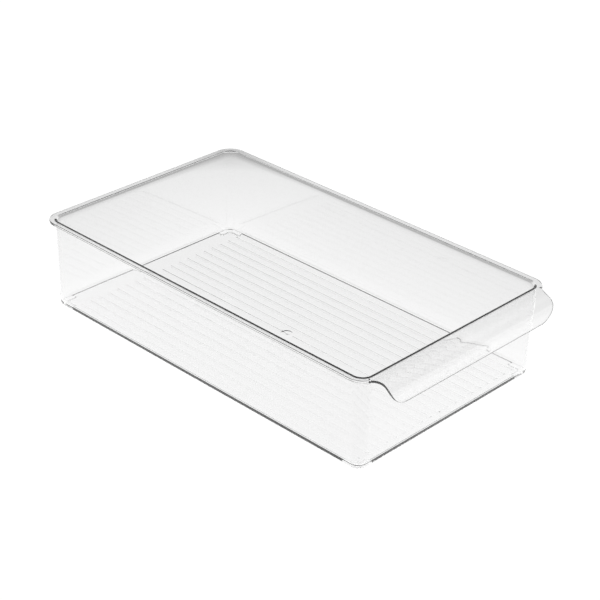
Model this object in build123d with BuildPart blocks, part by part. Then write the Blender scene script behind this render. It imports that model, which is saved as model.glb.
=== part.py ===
from build123d import *
import math
import os

os.makedirs("parts", exist_ok=True)

# Clear fridge bin: one moulded shell with an outward rim, a curled pull lip along the front, low ribs on
# the floor and four corner feet. Millimetres, +Z up, the pull lip at -Y.
# Origin: middle of the bounding box in plan, on the plane that the feet stand on.

# Shell
wall = 2.0
draft = 1.0  # degrees, each wall leans out towards the top
top_width = 206.0  # outside of the side walls, at the rim
top_length = 350.0  # outside of the front and back walls, at the rim
body_height = 78.9  # underside of the floor to the top of the rim
corner_radius = 10.0  # outside, at the rim
bottom_edge_radius = 1.5
floor_edge_radius = 2.5  # inside, floor to wall

# Rim
rim_overhang = 4.7
rim_thickness = 2.0
rim_edge_radius = 0.4
rim_inner_radius = 2.0  # where the wall turns out into the rim

# Pull lip: a sheet that droops a little, bends down and ends in a round edge
lip_half_width = 94.7
lip_droop = 6.0  # degrees
lip_reach = 11.0  # flat stretch, from the front wall outwards
lip_bend_radius = 12.0  # top face
lip_end_angle = 86.0  # degrees below level
lip_skirt = 6.0  # straight stretch below the bend
lip_corner_radius = 14.0
lip_root_radius = 12.0

# Floor ribs, each with a round end and a small dome at the front
rib_count = 19
rib_pitch = 10.0
rib_radius = 1.0
rib_height = 0.18
rib_front = 163.4  # forwards of the middle of the floor
rib_back = 153.0
dome_radius = 1.0
dome_height = 0.45

# Corner feet, each with a shallow hollow over it in the floor's top face
foot_height = 1.8
foot_outset = 2.2  # from the outer face of the base to the foot
foot_width = 5.3
foot_end_x = 84.0
foot_end_y = 154.5
foot_edge_radius = 0.5
recess_depth = 0.3
recess_outset = 3.7
recess_width = 3.2

# Gate mark, in the middle of the underside
gate_radius = 6.0
gate_depth = 0.3
gate_nub_radius = 1.0

# Sizes that follow from those above
total_height = foot_height + body_height
floor_top = foot_height + wall
lean = body_height * math.tan(math.radians(draft))
base_width = top_width - 2 * lean
base_length = top_length - 2 * lean
base_corner_radius = corner_radius - lean
rim_width = top_width + 2 * rim_overhang
rim_length = top_length + 2 * rim_overhang
rib_axis_height = floor_top + rib_height - rib_radius
dome_centre_height = floor_top + dome_height - dome_radius

# The lip reaches further out than the rim at the back does, so the shell stands back by half of that
droop = math.radians(lip_droop)
end_angle = math.radians(lip_end_angle)
lip_overhang = (
    lip_reach * math.cos(droop)
    + lip_bend_radius * (math.sin(end_angle) - math.sin(droop))
    + lip_skirt * math.cos(end_angle)
    + wall / 2 * (1 - math.sin(end_angle))
)
shell_centre = (lip_overhang - wall / 2 - rim_overhang) / 2
front_wall = shell_centre - top_length / 2 + wall / 2
ground = Plane(origin=(0, shell_centre, 0))
top = ground.offset(total_height)

# Where the lip starts, seen from the side, and the plane its outline is drawn on, which faces the bend
lip_start = (front_wall, total_height)
lip_plane = Plane(origin=(0, front_wall, total_height), x_dir=(1, 0, 0), z_dir=(0, -1, 1))
rim_line = -rim_overhang * math.sqrt(0.5)


def corner_strips(outset, strip):
    """Four strips that follow the corners of the base, set in from its outer edge, with round ends."""
    inset = outset + strip
    radius = base_corner_radius - outset
    with BuildSketch() as strips:
        RectangleRounded(base_width - 2 * outset, base_length - 2 * outset, radius)
        RectangleRounded(base_width - 2 * inset, base_length - 2 * inset, radius, mode=Mode.SUBTRACT)
        Rectangle(2 * foot_end_x, base_length, mode=Mode.SUBTRACT)
        Rectangle(base_width, 2 * foot_end_y, mode=Mode.SUBTRACT)
        front_ends = strips.vertices().filter_by(lambda end: abs(abs(end.X) - foot_end_x) < 0.01)
        side_ends = strips.vertices().filter_by(lambda end: abs(abs(end.Y) - foot_end_y) < 0.01)
        fillet(front_ends + side_ends, radius=0.45 * strip)
    return strips.sketch


# The space inside, with the hollows over the feet
with BuildPart() as cavity:
    with BuildSketch(top):
        RectangleRounded(top_width - 2 * wall, top_length - 2 * wall, corner_radius - wall)
    extrude(amount=floor_top - total_height, taper=draft)
    fillet(cavity.edges().group_by(Axis.Z)[0], radius=floor_edge_radius)
    with BuildSketch(ground.offset(floor_top - recess_depth)):
        add(corner_strips(recess_outset, recess_width))
    extrude(amount=recess_depth + floor_edge_radius)

# The pull lip: its section across the full width, trimmed to an outline with round corners
with BuildPart() as lip:
    with BuildSketch(Plane.YZ):
        with BuildLine():
            reach = PolarLine(lip_start, lip_reach, 180 + lip_droop)
            bend = JernArc(reach @ 1, reach % 1, lip_bend_radius, lip_end_angle - lip_droop)
            skirt = PolarLine(bend @ 1, lip_skirt, 180 + lip_end_angle)
            edge = JernArc(skirt @ 1, skirt % 1, wall / 2, 180)
            back = PolarLine(edge @ 1, lip_skirt, lip_end_angle)
            under = JernArc(back @ 1, back % 1, lip_bend_radius - wall, lip_droop - lip_end_angle)
            root = PolarLine(under @ 1, lip_reach, lip_droop)
            Line(root @ 1, reach @ 0)
        make_face()
    extrude(amount=top_width / 2, both=True)
    lip_bottom = lip_plane.to_local_coords(lip.vertices().sort_by(Axis.Z)[0]).Y
    with BuildSketch(lip_plane) as outline:
        with Locations((0, lip_bottom)):
            Rectangle(2 * lip_half_width, rim_line - lip_bottom, align=(Align.CENTER, Align.MIN))
        with Locations((0, rim_line)):
            Rectangle(
                2 * (lip_half_width + lip_root_radius),
                2 * rim_overhang,
                align=(Align.CENTER, Align.MIN),
            )
        rim_corners = outline.vertices().group_by(Axis.Y)[1].sort_by(lambda corner: abs(corner.X))
        fillet(rim_corners[:2], radius=lip_root_radius)
        fillet(outline.vertices().group_by(Axis.Y)[0], radius=lip_corner_radius)
    extrude(amount=2 * body_height, both=True, mode=Mode.INTERSECT)

# The moulding: outer body, feet, rim and lip, hollowed out, then the ribs and the gate mark
with BuildPart() as shell:
    with BuildSketch(top):
        RectangleRounded(top_width, top_length, corner_radius)
    extrude(amount=-body_height, taper=draft)
    fillet(shell.edges().group_by(Axis.Z)[0], radius=bottom_edge_radius)
    with BuildSketch(ground):
        add(corner_strips(foot_outset, foot_width))
    extrude(amount=foot_height + wall / 2)
    fillet(shell.edges().group_by(Axis.Z)[0], radius=foot_edge_radius)
    with BuildSketch(top):
        RectangleRounded(rim_width, rim_length, corner_radius + rim_overhang)
    extrude(amount=-rim_thickness)
    rim_sides = shell.faces().group_by(Axis.X)[0] + shell.faces().group_by(Axis.X)[-1]
    fillet(rim_sides.edges().filter_by(Axis.Y), radius=rim_edge_radius)
    add(lip.part)
    add(cavity.part, mode=Mode.SUBTRACT)
    rim_top = shell.faces().sort_by(Axis.Z)[-1]
    fillet(rim_top.inner_wires()[0].edges(), radius=rim_inner_radius)
    with Locations((0, shell_centre + (rib_back - rib_front) / 2, rib_axis_height)):
        with GridLocations(rib_pitch, 1, rib_count, 1):
            Cylinder(rib_radius, rib_back + rib_front, rotation=(90, 0, 0))
    with Locations((0, shell_centre + rib_back, rib_axis_height)):
        with GridLocations(rib_pitch, 1, rib_count, 1):
            Sphere(rib_radius)
    with Locations((0, shell_centre - rib_front, dome_centre_height)):
        with GridLocations(rib_pitch, 1, rib_count, 1):
            Sphere(dome_radius)
    with Locations((0, shell_centre, foot_height)):
        Cylinder(
            gate_radius,
            gate_depth,
            align=(Align.CENTER, Align.CENTER, Align.MIN),
            mode=Mode.SUBTRACT,
        )
        Cylinder(gate_nub_radius, gate_depth, align=(Align.CENTER, Align.CENTER, Align.MIN))

shell.part.label = "bin"
export_step(shell.part, "parts/bin.step")
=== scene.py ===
import math

import bpy
import numpy as np
from mathutils import Matrix, Vector


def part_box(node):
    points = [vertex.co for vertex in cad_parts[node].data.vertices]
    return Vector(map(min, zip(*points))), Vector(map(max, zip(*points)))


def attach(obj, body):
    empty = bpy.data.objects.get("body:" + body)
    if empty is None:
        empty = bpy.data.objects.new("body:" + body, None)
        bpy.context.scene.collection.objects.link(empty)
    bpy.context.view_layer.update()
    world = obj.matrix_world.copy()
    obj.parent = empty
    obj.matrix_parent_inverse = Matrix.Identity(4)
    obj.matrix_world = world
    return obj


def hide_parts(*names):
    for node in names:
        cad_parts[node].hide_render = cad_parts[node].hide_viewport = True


# Clear fridge bin on a pale floor. The whole moulding is one watertight mesh, made of rings that run round
# the body: up the inside of the walls, out over the rim and the pull lip, and down the outside. Two grids
# close it, the ribbed floor and the underside. Sizes are millimetres until the mesh is made.

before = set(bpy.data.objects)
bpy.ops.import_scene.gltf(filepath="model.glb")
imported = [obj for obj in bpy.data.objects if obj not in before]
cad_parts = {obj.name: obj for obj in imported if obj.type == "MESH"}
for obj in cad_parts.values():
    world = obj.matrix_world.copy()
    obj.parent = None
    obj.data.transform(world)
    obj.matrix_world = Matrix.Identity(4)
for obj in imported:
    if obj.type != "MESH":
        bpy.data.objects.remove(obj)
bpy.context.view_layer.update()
_, cad_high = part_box("bin")

METRES = 0.001
MM = 1000.0

# Body
WALL = 2.0
DRAFT = 1.0  # degrees, each wall leans out towards the top
TOP_WIDTH = 206.0
TOP_LENGTH = 350.0
CORNER_RADIUS = 10.0
FOOT_HEIGHT = 1.8
HEIGHT = cad_high.z * MM
BODY_HEIGHT = HEIGHT - FOOT_HEIGHT
FLOOR = FOOT_HEIGHT + WALL
LEAN = BODY_HEIGHT * math.tan(math.radians(DRAFT))
BOTTOM_RADIUS = 1.5
FLOOR_RADIUS = 2.5

# Rim and pull lip
RIM_OVERHANG = 4.7
RIM_EDGE = 0.4
RIM_INNER_EDGE = 2.0
RIM_UNDER_FILLET = 0.8
LIP_HALF_WIDTH = 94.7
LIP_CORNER = 16.4  # measured on the sheet laid flat
LIP_ROOT = 12.0
LIP_FLAT = 4.0
LIP_DROOP = 12.0  # degrees, reached over the droop's length
LIP_DROOP_LENGTH = 8.2
LIP_BEND_RADIUS = 12.0
LIP_END_ANGLE = 86.0  # degrees below level
LIP_SKIRT = 6.0

# Floor ribs, feet and gate mark
RIB_COUNT = 19
RIB_PITCH = 10.0
RIB_HALF_WIDTH = 0.8
RIB_HEIGHT = 0.18
RIB_FRONT = -163.4
RIB_BACK = 153.0
DOME_RADIUS = 1.0
DOME_HEIGHT = 0.45
FOOT_END_X = 84.0
FOOT_END_Y = 154.5
FOOT_OUTSET = 2.2
FOOT_WIDTH = 5.3
RECESS_DEPTH = 0.3
RECESS_OUTSET = 3.7
RECESS_WIDTH = 3.2
STRIP_EDGE = 0.9
GATE_RADIUS = 6.0
GATE_DEPTH = 0.3
GATE_EDGE = 2.0
NUB_RADIUS = 1.1
NUB_EDGE = 0.6

# Plastic: absorption is per metre, the noise scales are per metre, and the bumps' depths are metres
PLASTIC_IOR = 1.57
PLASTIC_ABSORPTION = 20.0
SMOOTH_ROUGHNESS = 0.01
SCUFFED_ROUGHNESS = 0.06
SCUFF_SCALE = 22.0
WAVE_SCALE = 45.0
WAVE_DEPTH = 0.000006
SCRATCH_SCALE = 1600.0
SCRATCH_DEPTH = 0.000002

# Light: the floor's size in metres, its brightness to the camera and its painted brightness in reflections,
# and ramps of brightness, the floor's painted pool of light by distance from the bin in metres and the room's
# by the height of the direction, 0 level and 1 straight up
FLOOR_SIZE = 40.0
WHITE = 1.05
FLOOR_REFLECTED = 1.7
LIGHT_BOUNCES = 24
POOL_OF_LIGHT = ((0.0, 1.0), (0.02, 0.95), (0.12, 0.87), (0.18, 0.5), (0.5, 0.35))
ROOM_BY_HEIGHT = ((0.0, 1.2), (0.15, 1.1), (0.3, 0.55), (0.6, 0.55), (0.75, 0.9), (1.0, 0.7))

# Camera, seen from the front left and above: metres, degrees, and the lens in millimetres
LOOK_AT = Vector((0.00232, -0.00366, 0.0388))
CAMERA_DISTANCE = 1.38006
CAMERA_AZIMUTH = 46.4705
CAMERA_ELEVATION = 29.1863
CAMERA_ROLL = 1.5392
CAMERA_LENS = 102.15

# The rings are measured from a core rectangle whose corners are the centres of the rounded corners
CORE_X = TOP_WIDTH / 2 - CORNER_RADIUS
CORE_Y = TOP_LENGTH / 2 - CORNER_RADIUS
SHELL_CENTRE = cad_high.y * MM - TOP_LENGTH / 2 - RIM_OVERHANG
BASE_REACH = CORNER_RADIUS - LEAN
RIM_REACH = CORNER_RADIUS + RIM_OVERHANG
FRONT_LINE = -TOP_LENGTH / 2 + WALL / 2

# How finely the mesh is divided: steps round each corner, how far from the core the rings become a grid,
# rings across the rim sheet and up the walls, and the lines close to the gate mark and the feet's ends
ARC_STEPS = 16
HALF_STEPS = ARC_STEPS // 2
FLOOR_SQUARE = 2.1
UNDER_SQUARE = 3.6
SHEET_SHARES = np.linspace(0, 1, 25)
WALL_SHARES = (0.1, 0.35, 0.65, 0.9)
UNDER_SHARES = (0.2, 0.3, 0.36, 0.42, 0.48, 0.54, 0.75, 1)  # close together on the feet's outer sides
FLOOR_ANGLES = np.radians([0, 8, 16, 24, 34, 46, 60, 75, 90])
RIM_INNER_ANGLES = np.radians(np.arange(0, 89, 11.25))
EDGE_ANGLES = np.radians([22.5, 45, 67.5, 90])
BOTTOM_ANGLES = np.radians([90, 72, 54, 36, 18, 0])
LIP_PATH = np.linspace(0, 60, 601)
GATE_LINES = list(np.linspace(-GATE_RADIUS - 0.5, GATE_RADIUS + 0.5, 23))
FOOT_END_LINES = np.arange(-0.2, 3.2, 0.45)


def smooth_step(value):
    """0 below 0, 1 above 1, and a smooth rise between."""
    t = np.clip(value, 0, 1)
    return t * t * (3 - 2 * t)


def arc_points(centre, radius, start, end, count):
    """Points on a plane arc, angles in degrees."""
    angle = np.radians(np.linspace(start, end, count))
    return np.stack([centre[0] + radius * np.cos(angle), centre[1] + radius * np.sin(angle)], 1)


def tidy_lines(values, reach, apart=0.12):
    """Grid lines in order, both ends included, none closer together than apart."""
    inner = sorted(v for v in values if abs(v) < reach - apart)
    kept = [-reach]
    for value in inner:
        if value - kept[-1] > apart:
            kept.append(value)
    return np.array([*kept, reach])


def cross_lines():
    """Grid lines across the bin: close together on each rib, on the gate mark and at the feet's ends."""
    lines = []
    for number in range(RIB_COUNT):
        middle = (number - (RIB_COUNT - 1) / 2) * RIB_PITCH
        lines += [middle + RIB_HALF_WIDTH * share for share in (-1, -0.65, -0.33, 0, 0.33, 0.65, 1)]
        lines.append(middle + RIB_PITCH / 2)
    lines += GATE_LINES
    for side in (-1, 1):
        lines += [side * (FOOT_END_X + step) for step in FOOT_END_LINES]
    return tidy_lines(lines, CORE_X)


def long_lines():
    """Grid lines along the bin: close together at the ribs' ends, on the gate mark and at the feet."""
    lines = list(np.linspace(-150, 150, 25))
    lines += [RIB_FRONT + DOME_RADIUS * share for share in (-1, -0.7, -0.4, 0, 0.4, 0.7, 1)]
    lines += [RIB_BACK + RIB_HALF_WIDTH * share for share in (-1, -0.4, 0, 0.4, 0.8, 1.1)]
    lines += GATE_LINES
    for side in (-1, 1):
        lines += [side * (FOOT_END_Y + step) for step in FOOT_END_LINES]
    return tidy_lines(lines, CORE_Y)


X_LINES = cross_lines()
Y_LINES = long_lines()


def ring_core():
    """Core points and outward directions, once round from the front left corner, with a turn per corner."""
    points, normals = [], []
    sides = (
        ([(x, -CORE_Y) for x in X_LINES], -90),
        ([(CORE_X, y) for y in Y_LINES], 0),
        ([(x, CORE_Y) for x in X_LINES[::-1]], 90),
        ([(-CORE_X, y) for y in Y_LINES[::-1]], 180),
    )
    for side, facing in sides:
        outward = (math.cos(math.radians(facing)), math.sin(math.radians(facing)))
        points += side
        normals += [outward] * len(side)
        for step in range(1, ARC_STEPS):
            angle = math.radians(facing + 90 * step / ARC_STEPS)
            points.append(side[-1])
            normals.append((math.cos(angle), math.sin(angle)))
    return np.array(points), np.array(normals)


CORE, OUTWARD = ring_core()
SQUARE = OUTWARD / np.abs(OUTWARD).max(1, keepdims=True)
RING_SIZE = len(CORE)


def outer_reach(height):
    """How far the wall's outer face is from the core at a height."""
    return CORNER_RADIUS - LEAN * (HEIGHT - height) / BODY_HEIGHT


def strip_distance(x, y, line_reach):
    """Distance from the middle line of a corner strip, which runs round a corner and ends on both sides."""
    x, y = np.abs(x), np.abs(y)
    past_x, past_y = x - CORE_X, y - CORE_Y
    end_x = FOOT_END_X + line_reach - 1
    end_y = FOOT_END_Y + line_reach - 1
    turn = np.abs(np.hypot(past_x, past_y) - line_reach)
    front = np.hypot(np.minimum(x - end_x, 0), past_y - line_reach)
    side = np.hypot(past_x - line_reach, np.minimum(y - end_y, 0))
    return np.where((past_x > 0) & (past_y > 0), turn, np.minimum(front, side))


def strip_shape(x, y, outset, width):
    """1 on a corner strip, 0 off it, with a smooth edge."""
    distance = strip_distance(x, y, BASE_REACH - outset - width / 2)
    return smooth_step((width / 2 - distance) / STRIP_EDGE)


def hollow(x, y):
    """Depth of the hollows over the feet."""
    return RECESS_DEPTH * strip_shape(x, y, RECESS_OUTSET, RECESS_WIDTH)


def foot(x, y):
    """Depth of the feet below the underside."""
    return FOOT_HEIGHT * strip_shape(x, y, FOOT_OUTSET, FOOT_WIDTH)


def floor_height(x, y):
    """The floor's top face: ribs with round ends, a dome at each rib's front, and the hollows."""
    across = x - RIB_PITCH * np.clip(np.round(x / RIB_PITCH), -(RIB_COUNT // 2), RIB_COUNT // 2)
    past_end = np.maximum(np.maximum(y - RIB_BACK, RIB_FRONT - y), 0)
    rib = np.clip(1 - (across**2 + past_end**2) / RIB_HALF_WIDTH**2, 0, 1) ** 1.5
    dome = np.clip(1 - (across**2 + (y - RIB_FRONT) ** 2) / DOME_RADIUS**2, 0, 1) ** 1.5
    return FLOOR + np.maximum(RIB_HEIGHT * rib, DOME_HEIGHT * dome) - hollow(x, y)


def under_height(x, y):
    """The underside: four feet, and the gate mark's round recess with its nub."""
    out = np.hypot(x, y)
    gate = GATE_DEPTH * smooth_step((GATE_RADIUS - out) / GATE_EDGE)
    nub = GATE_DEPTH * smooth_step((NUB_RADIUS - out) / NUB_EDGE)
    return FOOT_HEIGHT - foot(x, y) + gate - nub


def lip_profile():
    """The lip's path from the front wall outwards: reach, drop and slope by length, and the whole length."""
    droop = math.radians(LIP_DROOP)
    end = math.radians(LIP_END_ANGLE)
    bend_start = LIP_FLAT + LIP_DROOP_LENGTH
    bend_end = bend_start + (end - droop) * LIP_BEND_RADIUS
    slope = np.interp(LIP_PATH, [0, LIP_FLAT, bend_start, bend_end], [0, 0, droop, end])
    step = LIP_PATH[1] - LIP_PATH[0]
    middle = (slope[1:] + slope[:-1]) / 2
    reach = np.concatenate([[0], np.cumsum(np.cos(middle) * step)])
    drop = np.concatenate([[0], np.cumsum(np.sin(middle) * step)])
    return reach, drop, slope, bend_end + LIP_SKIRT + RIM_EDGE


REACH, DROP, SLOPE, LIP_LENGTH = lip_profile()


def rolled(plan, depth):
    """A point of the flat rim sheet, at a depth below its top face, with the front rolled down as the lip."""
    along = FRONT_LINE - plan[:, 1]
    inside = np.maximum(along, 0)
    slope = np.interp(inside, LIP_PATH, SLOPE)
    y = np.where(along > 0, FRONT_LINE - np.interp(inside, LIP_PATH, REACH), plan[:, 1])
    return np.stack(
        [
            plan[:, 0],
            y + depth * np.sin(slope),
            HEIGHT - np.interp(inside, LIP_PATH, DROP) - depth * np.cos(slope),
        ],
        1,
    )


def tab_path():
    """Outline of the lip's right end, laid flat: round corner, straight end, round root, the rim's arc."""
    bottom = FRONT_LINE - LIP_LENGTH
    root_x = LIP_HALF_WIDTH + LIP_ROOT
    root_y = -CORE_Y - math.sqrt((RIM_REACH + LIP_ROOT) ** 2 - (root_x - CORE_X) ** 2)
    meeting = math.degrees(math.atan2(-CORE_Y - root_y, CORE_X - root_x))
    rim_angle = meeting - 180
    next_angle = -90 + 90 * HALF_STEPS / 2 / ARC_STEPS
    corner_centre = (LIP_HALF_WIDTH - LIP_CORNER, bottom + LIP_CORNER)
    corner = arc_points(corner_centre, LIP_CORNER, -90, 0, count=60)
    root = arc_points((root_x, root_y), LIP_ROOT, 180, meeting, count=30)
    rim = arc_points((CORE_X, -CORE_Y), RIM_REACH, rim_angle, next_angle, count=10)
    return np.concatenate([corner, root, rim])


def spread(path, count):
    """count points evenly along a path, without its last point."""
    steps = np.concatenate([[0], np.cumsum(np.hypot(*np.diff(path, axis=0).T))])
    wanted = np.linspace(0, steps[-1], count + 1)[:-1]
    return np.stack([np.interp(wanted, steps, path[:, axis]) for axis in (0, 1)], 1)


def rim_outline():
    """The rim sheet's outline, laid flat, with the lip as a tab in front, and its outward directions."""
    outline = CORE + RIM_REACH * OUTWARD
    front = np.arange(len(X_LINES))
    flat = front[np.abs(X_LINES) <= LIP_HALF_WIDTH - LIP_CORNER]
    outline[flat, 1] = FRONT_LINE - LIP_LENGTH
    first = flat[-1] + 1
    last = len(X_LINES) + HALF_STEPS // 2 - 1
    right = spread(tab_path(), last - first + 1)
    outline[first:last] = right[1:]
    mirror = (len(X_LINES) - 1 - np.arange(first, last)) % RING_SIZE
    outline[mirror] = right[1:] * (-1, 1)
    along = np.roll(outline, -1, 0) - np.roll(outline, 1, 0)
    along /= np.hypot(*along.T)[:, None]
    return outline, np.stack([along[:, 1], -along[:, 0]], 1)


def at_height(plan, height):
    """Plan points at one height, or at a height each."""
    return np.column_stack([plan, np.broadcast_to(height, len(plan))])


def shell_rings():
    """Every ring, from the edge of the floor's grid to the edge of the underside's grid."""
    rings = []

    def between(start, end, shares, height):
        for share in shares:
            plan = start + (end - start) * share
            rings.append(at_height(plan, height(*plan.T)))

    # Floor edge, round inner fillet, inner face of the wall
    fillet_top = FLOOR + FLOOR_RADIUS
    inner = outer_reach(fillet_top) - WALL - FLOOR_RADIUS
    square = CORE + FLOOR_SQUARE * SQUARE
    between(square, CORE + inner * OUTWARD, (0, 0.33, 0.67), floor_height)
    for angle in FLOOR_ANGLES:
        plan = CORE + (inner + FLOOR_RADIUS * math.sin(angle)) * OUTWARD
        height = fillet_top - FLOOR_RADIUS * math.cos(angle)
        rings.append(at_height(plan, height - hollow(*plan.T)))
    for share in WALL_SHARES:
        height = fillet_top + (HEIGHT - fillet_top) * share
        rings.append(at_height(CORE + (outer_reach(height) - WALL) * OUTWARD, height))
    centre = outer_reach(HEIGHT) - WALL + RIM_INNER_EDGE
    for angle in RIM_INNER_ANGLES:
        plan = CORE + (centre - RIM_INNER_EDGE * math.cos(angle)) * OUTWARD
        rings.append(at_height(plan, HEIGHT - RIM_INNER_EDGE * (1 - math.sin(angle))))

    # Top of the rim sheet, its round edge, and the way back underneath
    outline, facing = rim_outline()
    start = CORE + centre * OUTWARD
    end = outline - RIM_EDGE * facing
    under = CORE + (outer_reach(HEIGHT) + RIM_UNDER_FILLET) * OUTWARD
    for share in SHEET_SHARES:
        rings.append(rolled(start + (end - start) * share, 0))
    for angle in EDGE_ANGLES:
        rings.append(rolled(end + RIM_EDGE * math.sin(angle) * facing, RIM_EDGE * (1 - math.cos(angle))))
    for angle in EDGE_ANGLES[::-1]:
        depth = WALL - RIM_EDGE * (1 - math.cos(angle))
        rings.append(rolled(end + RIM_EDGE * math.sin(angle) * facing, depth))
    for share in SHEET_SHARES:
        rings.append(rolled(end + (under - end) * share, WALL))

    # Fillet under the rim, outer face of the wall, round bottom edge, underside
    for angle in np.radians([30, 60, 90]):
        reach = outer_reach(HEIGHT) + RIM_UNDER_FILLET * (1 - math.sin(angle))
        height = HEIGHT - WALL - RIM_UNDER_FILLET * (1 - math.cos(angle))
        rings.append(at_height(CORE + reach * OUTWARD, height))
    fillet_top = FOOT_HEIGHT + BOTTOM_RADIUS
    for share in WALL_SHARES:
        height = HEIGHT + (fillet_top - HEIGHT) * share
        rings.append(at_height(CORE + outer_reach(height) * OUTWARD, height))
    inner = outer_reach(fillet_top) - BOTTOM_RADIUS
    for angle in BOTTOM_ANGLES:
        plan = CORE + (inner + BOTTOM_RADIUS * math.sin(angle)) * OUTWARD
        height = fillet_top - BOTTOM_RADIUS * math.cos(angle)
        rings.append(at_height(plan, height - foot(*plan.T)))
    square = CORE + UNDER_SQUARE * SQUARE
    between(CORE + inner * OUTWARD, square, UNDER_SHARES, under_height)
    return rings


def grid_numbers(ring, first_free):
    """Vertex numbers of a grid whose edge is a ring, and the number of columns and rows."""
    columns = len(X_LINES) + ARC_STEPS
    rows = len(Y_LINES) + ARC_STEPS
    numbers = np.full((columns, rows), -1)
    edge = [(column, 0) for column in range(columns)]
    edge += [(columns - 1, row) for row in range(1, rows)]
    edge += [(column, rows - 1) for column in range(columns - 2, -1, -1)]
    edge += [(0, row) for row in range(rows - 2, 0, -1)]
    for place, (column, row) in enumerate(edge):
        numbers[column, row] = ring + (place - HALF_STEPS) % RING_SIZE
    numbers[1:-1, 1:-1] = first_free + np.arange((columns - 2) * (rows - 2)).reshape(columns - 2, -1)
    return numbers


def grid_lines(lines, square):
    """Grid lines with those of the corners added at both ends."""
    turn = np.tan(np.radians(90 * np.arange(1, HALF_STEPS + 1) / ARC_STEPS))
    return np.concatenate([lines[0] - square * turn[::-1], lines, lines[-1] + square * turn])


def build_shell():
    """The moulding's mesh, in metres, in the part's frame."""
    rings = shell_rings()
    vertices = list(rings)
    faces = []
    here = np.arange(RING_SIZE)
    after = (here + 1) % RING_SIZE
    for number in range(len(rings) - 1):
        low, high = number * RING_SIZE, (number + 1) * RING_SIZE
        faces.append(np.stack([here + low, here + high, after + high, after + low], 1))
    total = len(rings) * RING_SIZE
    grids = (
        (0, FLOOR_SQUARE, floor_height, 1),
        (len(rings) - 1, UNDER_SQUARE, under_height, -1),
    )
    for ring, square, height, turn in grids:
        numbers = grid_numbers(ring * RING_SIZE, total)
        x, y = np.meshgrid(grid_lines(X_LINES, square), grid_lines(Y_LINES, square), indexing="ij")
        inside = np.stack([x[1:-1, 1:-1].ravel(), y[1:-1, 1:-1].ravel()], 1)
        vertices.append(at_height(inside, height(*inside.T)))
        total += len(inside)
        corners = [numbers[:-1, :-1], numbers[1:, :-1], numbers[1:, 1:], numbers[:-1, 1:]]
        faces.append(np.stack([corner.ravel() for corner in corners][::turn], 1))
    points = (np.concatenate(vertices) + (0, SHELL_CENTRE, 0)) * METRES
    mesh = bpy.data.meshes.new("bin_moulding")
    mesh.from_pydata(points.tolist(), [], np.concatenate(faces).tolist())
    mesh.validate()
    mesh.shade_smooth()
    piece = bpy.data.objects.new("bin_moulding", mesh)
    bpy.context.scene.collection.objects.link(piece)
    return piece


def clear_plastic():
    """Clear moulded plastic: glossy, a little wavy, finely scuffed, and darker where light runs far."""
    material = bpy.data.materials.new("clear_plastic")
    material.use_nodes = True
    nodes, links = material.node_tree.nodes, material.node_tree.links
    shader = nodes["Principled BSDF"]
    shader.inputs["Base Color"].default_value = (1, 1, 1, 1)
    shader.inputs["Transmission Weight"].default_value = 1.0
    shader.inputs["IOR"].default_value = PLASTIC_IOR
    place = nodes.new("ShaderNodeTexCoord").outputs["Object"]

    def noise(scale, detail, stretch=(1, 1, 1)):
        mapping = nodes.new("ShaderNodeMapping")
        mapping.inputs["Scale"].default_value = stretch
        links.new(place, mapping.inputs["Vector"])
        texture = nodes.new("ShaderNodeTexNoise")
        texture.inputs["Scale"].default_value = scale
        texture.inputs["Detail"].default_value = detail
        links.new(mapping.outputs[0], texture.inputs["Vector"])
        return texture.outputs["Fac"]

    # Scuffs: patches a few centimetres across, with finer grain in them
    scuff = nodes.new("ShaderNodeMapRange")
    scuff.inputs["From Min"].default_value = 0.45
    scuff.inputs["From Max"].default_value = 0.8
    scuff.inputs["To Min"].default_value = SMOOTH_ROUGHNESS
    scuff.inputs["To Max"].default_value = SCUFFED_ROUGHNESS
    links.new(noise(SCUFF_SCALE, 6), scuff.inputs["Value"])
    links.new(scuff.outputs[0], shader.inputs["Roughness"])

    # Waves left by the mould, and hairline scratches along the bin on top of them
    waves = nodes.new("ShaderNodeBump")
    waves.inputs["Strength"].default_value = 1.0
    waves.inputs["Distance"].default_value = WAVE_DEPTH
    links.new(noise(WAVE_SCALE, 1), waves.inputs["Height"])
    scratches = nodes.new("ShaderNodeBump")
    scratches.inputs["Strength"].default_value = 1.0
    scratches.inputs["Distance"].default_value = SCRATCH_DEPTH
    links.new(noise(SCRATCH_SCALE, 2, (1, 0.04, 1)), scratches.inputs["Height"])
    links.new(waves.outputs[0], scratches.inputs["Normal"])
    links.new(scratches.outputs[0], shader.inputs["Normal"])

    depth = nodes.new("ShaderNodeVolumeAbsorption")
    depth.inputs["Color"].default_value = (0, 0, 0, 1)
    depth.inputs["Density"].default_value = PLASTIC_ABSORPTION
    links.new(depth.outputs[0], nodes["Material Output"].inputs["Volume"])
    return material


def ramp(nodes, stops):
    """A grey ramp node with (place, brightness) stops."""
    node = nodes.new("ShaderNodeValToRGB")
    elements = node.color_ramp.elements
    elements.remove(elements[1])
    elements[0].position = stops[0][0]
    for place, _ in stops[1:]:
        elements.new(place)
    for element, (_, brightness) in zip(elements, stops):
        element.color = (brightness, brightness, brightness, 1)
    return node


def seen_as(tree, ray, otherwise, brightness):
    """One brightness for a kind of ray, and another source for every other kind."""
    # The mix node's colour sockets: 0 is the factor, 6 and 7 the two colours, and 2 comes out
    mix = tree.nodes.new("ShaderNodeMix")
    mix.data_type = "RGBA"
    light_path = tree.nodes.new("ShaderNodeLightPath")
    tree.links.new(light_path.outputs[ray], mix.inputs[0])
    tree.links.new(otherwise, mix.inputs[6])
    mix.inputs[7].default_value = (brightness, brightness, brightness, 1)
    return mix.outputs[2]


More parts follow.
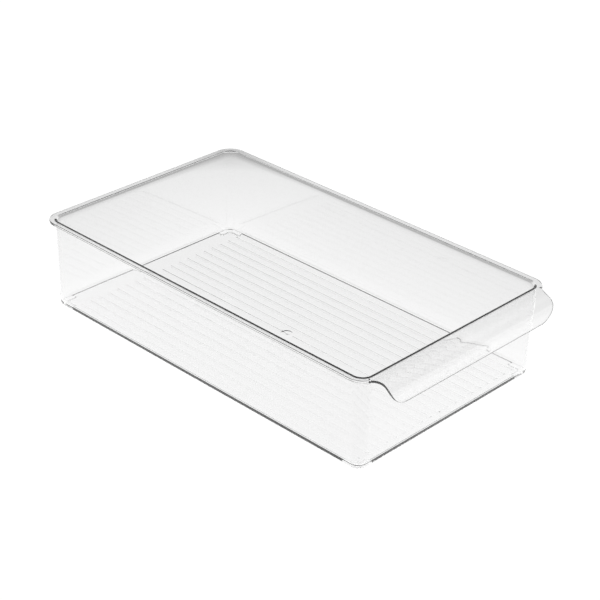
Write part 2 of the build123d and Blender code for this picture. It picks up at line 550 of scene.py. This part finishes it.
def floor_with_painted_light():
    """A pale floor, pure white to the camera, that glows with a painted pool of light fading away from the
    bin and is painted brighter in reflections.
    """
    bpy.ops.mesh.primitive_plane_add(size=FLOOR_SIZE)
    floor = bpy.context.object
    floor.name = "floor"
    material = bpy.data.materials.new("floor_white")
    material.use_nodes = True
    tree = material.node_tree
    nodes, links = tree.nodes, tree.links
    nodes.remove(nodes["Principled BSDF"])
    place = nodes.new("ShaderNodeNewGeometry").outputs["Position"]
    for operation, value in (
        ("ABSOLUTE", None),
        ("SUBTRACT", (cad_high.x, cad_high.y, 0)),
        ("MAXIMUM", (0, 0, 0)),
    ):
        step = nodes.new("ShaderNodeVectorMath")
        step.operation = operation
        links.new(place, step.inputs[0])
        if value:
            step.inputs[1].default_value = value
        place = step.outputs["Vector"]
    away = nodes.new("ShaderNodeVectorMath")
    away.operation = "LENGTH"
    links.new(place, away.inputs[0])
    # Painted light in the floor's glow: the pool of light by distance from the bin, a brighter floor in
    # reflections, white to the camera
    pool = ramp(nodes, POOL_OF_LIGHT)
    links.new(away.outputs["Value"], pool.inputs["Fac"])
    shade = seen_as(tree, "Is Reflection Ray", pool.outputs["Color"], FLOOR_REFLECTED)
    shade = seen_as(tree, "Is Camera Ray", shade, WHITE)
    glow = nodes.new("ShaderNodeEmission")
    links.new(shade, glow.inputs["Color"])
    links.new(glow.outputs[0], nodes["Material Output"].inputs["Surface"])
    floor.data.materials.append(material)


def soft_room():
    """Soft light all round, white to the camera: bright panels low down and higher up, and a dimmer gap."""
    world = bpy.data.worlds.new("studio")
    bpy.context.scene.world = world
    world.use_nodes = True
    tree = world.node_tree
    nodes, links = tree.nodes, tree.links
    height = nodes.new("ShaderNodeSeparateXYZ")
    links.new(nodes.new("ShaderNodeTexCoord").outputs["Generated"], height.inputs[0])
    panels = ramp(nodes, ROOM_BY_HEIGHT)
    links.new(height.outputs["Z"], panels.inputs["Fac"])
    shade = seen_as(tree, "Is Camera Ray", panels.outputs["Color"], WHITE)
    links.new(shade, nodes["Background"].inputs["Color"])


def place_camera():
    """The camera, from the point it looks at, its bearing and height, its distance and its roll."""
    data = bpy.data.cameras.new("camera")
    camera = bpy.data.objects.new("camera", data)
    bpy.context.scene.collection.objects.link(camera)
    azimuth, elevation = math.radians(CAMERA_AZIMUTH), math.radians(CAMERA_ELEVATION)
    forward = Vector(
        (
            math.sin(azimuth) * math.cos(elevation),
            math.cos(azimuth) * math.cos(elevation),
            -math.sin(elevation),
        )
    )
    turn = forward.to_track_quat("-Z", "Y").to_matrix().to_4x4()
    roll = Matrix.Rotation(math.radians(CAMERA_ROLL), 4, "Z")
    camera.matrix_world = Matrix.Translation(LOOK_AT - CAMERA_DISTANCE * forward) @ turn @ roll
    data.lens = CAMERA_LENS
    data.clip_end = 100
    bpy.context.scene.camera = camera


shell = build_shell()
shell.data.materials.append(clear_plastic())
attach(shell, "root")
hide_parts("bin")

floor_with_painted_light()
soft_room()
place_camera()

bpy.context.scene.view_settings.view_transform = "Standard"
bpy.context.scene.cycles.max_bounces = LIGHT_BOUNCES
bpy.context.scene.cycles.transmission_bounces = LIGHT_BOUNCES
